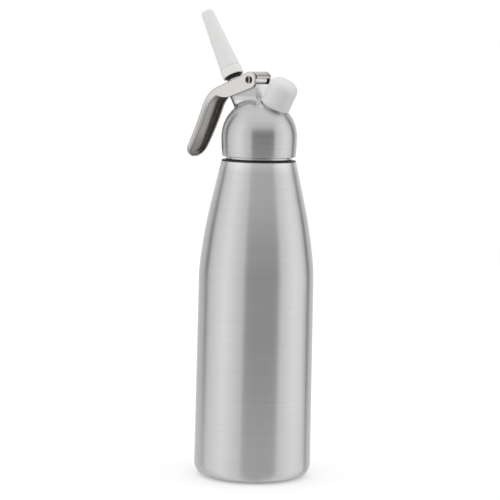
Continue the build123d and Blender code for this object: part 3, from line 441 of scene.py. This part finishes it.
# %% [markdown]
# ## The neck's thread and the return spring
# The head screws onto a thread on the bottle's neck, which shows once the head is lifted off: a
# rolled ridge that climbs round the neck and dies away at both ends. The valve's return spring
# is a wire that climbs round the stem in the same way. A path with a section swept along it is
# work for Geometry Nodes: one tree makes both, with the turns, the rise, the section and the
# place as its inputs.

# %% Name the winding's inputs
INPUT_KINDS = {
    "Turns": "Float", "Rise": "Float", "Path Radius": "Float", "Section Radius": "Float",
    "End Size": "Float", "Foot": "Vector", "Lean": "Vector", "Finish": "Material",
}
winding_tree = bpy.data.node_groups.new("winding", "GeometryNodeTree")
new_socket = winding_tree.interface.new_socket
new_socket("Geometry", in_out="OUTPUT", socket_type="NodeSocketGeometry")
identifiers = {
    name: new_socket(name, in_out="INPUT", socket_type="NodeSocket" + kind).identifier
    for name, kind in INPUT_KINDS.items()
}
print("inputs:", sorted(identifiers))

# %% [markdown]
# A spiral with the same radius at both ends is a helix. The section gets smaller over the first
# and the last part of it, down to the asked size: nothing for a thread, and the full size for a
# spring's wire.

# %% Build the winding's node tree
STEPS_PER_TURN, SECTION_SIDES = 72, 12
RUN_OUT_SHARE = 0.06                        # of the length, at each end


class Growth(Net):
    """A geometry node tree that is filled by add()."""

    def __init__(self, tree):
        self.tree = tree
        self.given = tree.nodes.new("NodeGroupInput")

    def asked(self, name):
        return Wire(self, self.given.outputs[name])


net = Growth(winding_tree)
radius = net.asked("Path Radius")
helix = {
    "Resolution": STEPS_PER_TURN, "Rotations": net.asked("Turns"), "Start Radius": radius,
    "End Radius": radius, "Height": net.asked("Rise"),
}
path = net.add("GeometryNodeCurveSpiral", inputs=helix)
along = net.add("GeometryNodeSplineParameter", out="Factor")
grown = along.clamped(0.0, RUN_OUT_SHARE) * (1 - along.clamped(1 - RUN_OUT_SHARE, 1.0))
size = grown.maths("MAXIMUM", net.asked("End Size"))
path = net.add("GeometryNodeSetCurveRadius", inputs={"Curve": path, "Radius": size})
circle = {"Resolution": SECTION_SIDES, "Radius": net.asked("Section Radius")}
section = net.add("GeometryNodeCurvePrimitiveCircle", inputs=circle)
swept = {"Curve": path, "Profile Curve": section, "Fill Caps": True}
winding = net.add("GeometryNodeCurveToMesh", inputs=swept)
placed = {"Geometry": winding, "Translation": net.asked("Foot"), "Rotation": net.asked("Lean")}
winding = net.add("GeometryNodeTransform", inputs=placed)
winding = net.add("GeometryNodeRealizeInstances", winding)
finished = {"Geometry": winding, "Material": net.asked("Finish")}
winding = net.add("GeometryNodeSetMaterial", inputs=finished)
net.add("NodeGroupOutput", winding)
print("the winding has", len(winding_tree.nodes), "nodes")

# %% [markdown]
# The modifier's inputs are set by each socket's identifier, before the object is looked at for
# the first time. The result is then copied into a plain mesh, and the modifier goes. The thread
# belongs to the bottle, so it stays there when the head is lifted.

# %% Make the thread and let it ride on the bottle
THREAD_FOOT = (0.0, 0.0, 0.24515)


def wound(name, **wanted):
    made = bpy.data.objects.new(name, bpy.data.meshes.new(name))
    bpy.context.scene.collection.objects.link(made)
    growing = made.modifiers.new("winding", "NODES")
    growing.node_group = winding_tree
    for asked, value in wanted.items():
        growing[identifiers[asked.replace("_", " ")]] = value
    evaluated = made.evaluated_get(bpy.context.evaluated_depsgraph_get())
    plain_mesh = bpy.data.meshes.new_from_object(evaluated)
    made.modifiers.remove(growing)
    made.data = plain_mesh
    plain_mesh.shade_smooth()
    finish = [given.name for given in plain_mesh.materials]
    print(name, "has", len(plain_mesh.polygons), "faces and", finish)
    return made


thread = wound(
    "neck_thread", Turns=3.73, Rise=0.0112, Path_Radius=0.0243, Section_Radius=0.00055,
    End_Size=0.0, Foot=THREAD_FOOT, Lean=(0.0, 0.0, 0.0), Finish=bottle_metal,
)
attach(thread, "bottle")

# %% [markdown]
# The spring stands on its seat in the valve's boss and leans with it.

# %% Make the return spring
SEAT_TOP, WASHER_FOOT, VALVE_TRAVEL = 0.0308, 0.0437, 0.00275       # along the valve's axis
SPRING_WIRE = 0.0011


def on_valve_axis(distance):
    x, y, z = [distance * part for part in valve_axis]
    return x, y, BRANCH_HEIGHT + z


free_length = WASHER_FOOT - SEAT_TOP
spring = wound(
    "return_spring", Turns=5.0, Rise=free_length - SPRING_WIRE, Path_Radius=0.0062,
    Section_Radius=SPRING_WIRE / 2, End_Size=1.0, Foot=on_valve_axis(SEAT_TOP + SPRING_WIRE / 2),
    Lean=(0.0, -VALVE_LEAN, 0.0), Finish=steel,
)
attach(spring, "head")
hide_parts("valve_spring")
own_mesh(spring)

# %% [markdown]
# ## Threads cut into the port and the adapter
# The cap and the nozzle fit closely over the cylinders that they screw on, so no ridge can be
# laid around those: the groove has to go in. It climbs around the axis, and at both ends it
# comes up to the plain radius, as where a cutting tool leaves the metal.

# %% Shape the groove
THREAD_PITCH, THREAD_DEPTH, THREAD_RUN_OUT = 0.0015, 0.00045, 0.0012
RINGS_PER_TURN = 12


def thread_radius(radius, low, high, height, angle):
    """The wall's distance from the axis, for a plain wall that reaches from low to high."""
    run_out = min(1, (height - low) / THREAD_RUN_OUT, (high - height) / THREAD_RUN_OUT)
    groove = 0.5 - 0.5 * math.cos(2 * math.pi * height / THREAD_PITCH - angle)
    return radius - THREAD_DEPTH * run_out * groove


in_millimetres = [round(1000 * size, 2) for size in (THREAD_DEPTH, THREAD_PITCH)]
print("the groove's depth and its climb in a turn:", in_millimetres, "mm")

# %% [markdown]
# The plain wall is taken out of a copy of the solid's mesh, and a wall of many rings is put
# between the same two edges, so the mesh stays closed. The work is done in the cylinder's own
# upright coordinates, and the copy stands for the solid.

# %% Cut a thread into a cylinder
SAME_POINT, SAME_HEIGHT, SAME_RADIUS = 1e-6, 1e-5, 2e-5
SHARP_EDGE = math.radians(35)


def stitch(shape, rings):
    """Faces between each ring and the next."""
    for below, above in zip(rings, rings[1:]):
        for here in range(len(below)):
            after = (here + 1) % len(below)
            shape.faces.new((below[here], below[after], above[after], above[here]))


def threaded_copy(node, lean, radius):
    leaning = Matrix.Translation((0, 0, BRANCH_HEIGHT)) @ Matrix.Rotation(lean, 4, "Y")
    upright = leaning.inverted()

    def height_of(vert):
        return (upright @ vert.co).z

    def angle_of(vert):
        place = upright @ vert.co
        return math.atan2(place.y, place.x)

    def on_wall(vert):
        return abs((upright @ vert.co).xy.length - radius) < SAME_RADIUS

    def turn_of(vert):
        return round(math.degrees(angle_of(vert)) % 360, 2) % 360

    made = bpy.data.objects.new(node + "_threaded", frame["nodes"][node].data.copy())
    bpy.context.scene.collection.objects.link(made)
    shape = bmesh.new()
    shape.from_mesh(made.data)
    bmesh.ops.remove_doubles(shape, verts=shape.verts, dist=SAME_POINT)
    wall = [face for face in shape.faces if all(on_wall(vert) for vert in face.verts)]
    edges = {vert for face in wall for vert in face.verts}
    heights = [height_of(vert) for vert in edges]
    low, high = min(heights), max(heights)
    lower = sorted((vert for vert in edges if height_of(vert) < low + SAME_HEIGHT), key=turn_of)
    upper = sorted((vert for vert in edges if height_of(vert) > high - SAME_HEIGHT), key=turn_of)
    bmesh.ops.delete(shape, geom=wall, context="FACES")
    rings = [lower]
    count = round((high - low) / THREAD_PITCH * RINGS_PER_TURN)
    for step in range(1, count):
        height = low + (high - low) * step / count
        ring = []
        for angle in map(angle_of, lower):
            reach = thread_radius(radius, low, high, height, angle)
            place = Vector((reach * math.cos(angle), reach * math.sin(angle), height))
            ring.append(shape.verts.new(leaning @ place))
        rings.append(ring)
    rings.append(upper)
    stitch(shape, rings)
    open_edges = sum(1 for edge in shape.edges if len(edge.link_faces) != 2)
    shape.to_mesh(made.data)
    shape.free()
    print(made.name, "has", count, "rings of", len(lower), "and", open_edges, "open edges")
    return made


# %% [markdown]
# The copy has kept the shading directions of the old wall, which are dropped. Smooth shading
# with sharp edges above an angle takes their place. The port belongs to the head, and the
# adapter travels with the valve.

# %% Put the threaded copies in place
THREADED = {                                # its body, the lean of its axis and its radius
    "charger_port": ("head", VALVE_LEAN, 0.0089),
    "nozzle_adapter": ("valve", -VALVE_LEAN, 0.0058),
}
for node, (body, lean, radius) in THREADED.items():
    cut = threaded_copy(node, lean, radius)
    kept_normals = cut.data.attributes.get("custom_normal")
    if kept_normals:
        cut.data.attributes.remove(kept_normals)
    cut.data.shade_smooth()
    cut.data.set_sharp_from_angle(angle=SHARP_EDGE)
    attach(cut, body)
    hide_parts(node)
    print(cut.name, "rides on the", body, "and stands for", node)

# %% [markdown]
# ## The studio
# Shiny metal shows what stands around it. Here that is a white room with a dark wide gap in
# front, where the camera is, two large soft lamps beside it, and a thin dark edge behind each
# lamp. The world carries all of this as a plain sum over directions, so it lights every side of
# the object and stays where it is when the camera moves.

# %% Light from all directions
CAMERA_TURN = math.radians(36)      # from the front, towards +X
LAMPS = [                           # turn from the camera's direction in degrees, brightness
    (-180, 0.80), (-150, 0.62), (-130, 0.56), (-122, 0.14), (-117, 0.14), (-110, 0.68),
    (-97, 0.78), (-66, 0.98), (-50, 0.86), (-34, 0.70), (0, 0.66), (40, 0.66), (57, 0.74),
    (70, 0.86), (88, 0.98), (104, 0.88), (118, 0.72), (125, 0.14), (130, 0.14), (137, 0.56),
    (150, 0.64), (180, 0.80),
]
world = bpy.data.worlds.new("studio")
bpy.context.scene.world = world
net = Net(world)
east, north, up = three_of(net, "Generated")
ahead = east * math.sin(CAMERA_TURN) - north * math.cos(CAMERA_TURN)
aside = east * math.cos(CAMERA_TURN) + north * math.sin(CAMERA_TURN)
turn = aside.maths("ARCTAN2", ahead) * (180 / math.pi)
ramp = net.add("ShaderNodeValToRGB", turn / 360 + 0.5)
stops = ramp.socket.node.color_ramp.elements
while len(stops) < len(LAMPS):
    stops.new(0.5)
for stop, (degrees, bright) in zip(stops, LAMPS):
    stop.position = degrees / 360 + 0.5
    stop.color = (bright, bright, bright, 1)
print("lamps at", [degrees for degrees, bright in LAMPS if bright > 0.9], "degrees")

# %% [markdown]
# The gap ends a little above the head, so the dome turns pale towards its top. Low down, the
# pale ground lightens both the gap and the dark edges. A matt surface gathers more light than
# the room shows, because the lamps are brighter than white. A ray from the camera sees plain
# white.

# %% The dark gap and the white background
GAP, GAP_SOFT, GAP_SHADE = (-23, 48), 3, 0.65           # in degrees, as the lamps
GAP_TOP, TOP_SOFT = 0.38, 0.06                          # heights are sines of the angle
GAP_LOW, GAP_FADE = (-0.30, -0.10), 0.45                # where and how much the ground lightens it
EDGE_STARTS, EDGE_ENDS = (114, 118), (129, 133)         # the dark edges, to either side
EDGE_LOW, EDGE_FADE = (-0.26, -0.10), 0.45
CEILING, TOP_LIGHT = (0.45, 0.80), 0.80
SOFT_LIGHT = 1.45

first, last = GAP
in_gap = turn.clamped(first - GAP_SOFT, first + GAP_SOFT)
in_gap = in_gap * (1 - turn.clamped(last - GAP_SOFT, last + GAP_SOFT))
below_top = 1 - up.clamped(GAP_TOP - TOP_SOFT, GAP_TOP + TOP_SOFT)
fade = 1 - (1 - up.clamped(*GAP_LOW)) * GAP_FADE
side = turn.maths("ABSOLUTE")
at_edge = side.clamped(*EDGE_STARTS) * (1 - side.clamped(*EDGE_ENDS))
paler = at_edge * (1 - up.clamped(*EDGE_LOW)) * EDGE_FADE
around = ramp * (1 - in_gap * below_top * fade * GAP_SHADE) + paler
high_up = up.clamped(*CEILING)
light = around * (1 - high_up) + high_up * TOP_LIGHT
seen = net.add("ShaderNodeLightPath", out="Is Camera Ray")
matt = Wire(net, seen.socket.node.outputs["Is Diffuse Ray"])
strength = light * (1 + matt * (SOFT_LIGHT - 1)) * (1 - seen) + seen
background = net.add(
    "ShaderNodeBackground", inputs={"Color": (1, 1, 1, 1), "Strength": strength}
)
net.add("ShaderNodeOutputWorld", background)
print("the world has", len(world.node_tree.nodes), "nodes")

# %% [markdown]
# The floor is a pale disc that keeps the object's soft shadow. Metal looks through it at the
# same white room. A little light of its own, for the camera only, makes it as white as the
# background.

# %% The floor
FLOOR_RADIUS, FLOOR_SIDES, FLOOR_DROP = 1.5, 96, 0.0002
FLOOR_COLOUR, FLOOR_GLOW = (0.66, 0.66, 0.66, 1), 0.40

bpy.ops.mesh.primitive_circle_add(
    vertices=FLOOR_SIDES, radius=FLOOR_RADIUS, fill_type="NGON", location=(0, 0, -FLOOR_DROP)
)
floor = bpy.context.object
floor.name = "floor"
paint, net = material("floor")
seen = net.add("ShaderNodeLightPath", out="Is Camera Ray")
glossy = Wire(net, seen.socket.node.outputs["Is Glossy Ray"])
lit = net.add("ShaderNodeBsdfDiffuse", inputs={"Color": FLOOR_COLOUR})
own_light = {"Color": (1, 1, 1, 1), "Strength": seen * FLOOR_GLOW}
glow = net.add("ShaderNodeEmission", inputs=own_light)
floor_light = net.add("ShaderNodeAddShader", lit, glow)
through = net.add("ShaderNodeBsdfTransparent")
net.add("ShaderNodeOutputMaterial", net.add("ShaderNodeMixShader", glossy, floor_light, through))
floor.data.materials.append(paint)
print("floor radius", FLOOR_RADIUS, "m")

# %% [markdown]
# ## The camera
# It stands 1.5 m away, a little above the middle, and looks down by six degrees. It is rolled by
# just over a degree, and the long lens keeps the sides nearly parallel.

# %% Place the camera
DISTANCE = 1.5067
HEIGHT = 0.3302
PITCH = 0.1029
ROLL = 0.0223
FOCAL_PIXELS = 1990.6
PICTURE_PIXELS = 500
CENTRE_PIXEL = (256.79, 247.59)
SENSOR = 36

view = bpy.data.cameras.new("camera")
view.sensor_width = SENSOR
view.lens = FOCAL_PIXELS / PICTURE_PIXELS * SENSOR
view.shift_x = (PICTURE_PIXELS / 2 - CENTRE_PIXEL[0]) / PICTURE_PIXELS
view.shift_y = (CENTRE_PIXEL[1] - PICTURE_PIXELS / 2) / PICTURE_PIXELS
camera = bpy.data.objects.new("camera", view)
bpy.context.scene.collection.objects.link(camera)
place = (DISTANCE * math.sin(CAMERA_TURN), -DISTANCE * math.cos(CAMERA_TURN), HEIGHT)
camera.matrix_world = (
    Matrix.Translation(place)
    @ Matrix.Rotation(CAMERA_TURN, 4, "Z")
    @ Matrix.Rotation(math.pi / 2 - PITCH, 4, "X")
    @ Matrix.Rotation(ROLL, 4, "Z")
)
bpy.context.scene.camera = camera
bpy.context.scene.view_settings.view_transform = "Standard"
print("lens", round(view.lens, 1), "mm at", tuple(round(v, 3) for v in camera.location))
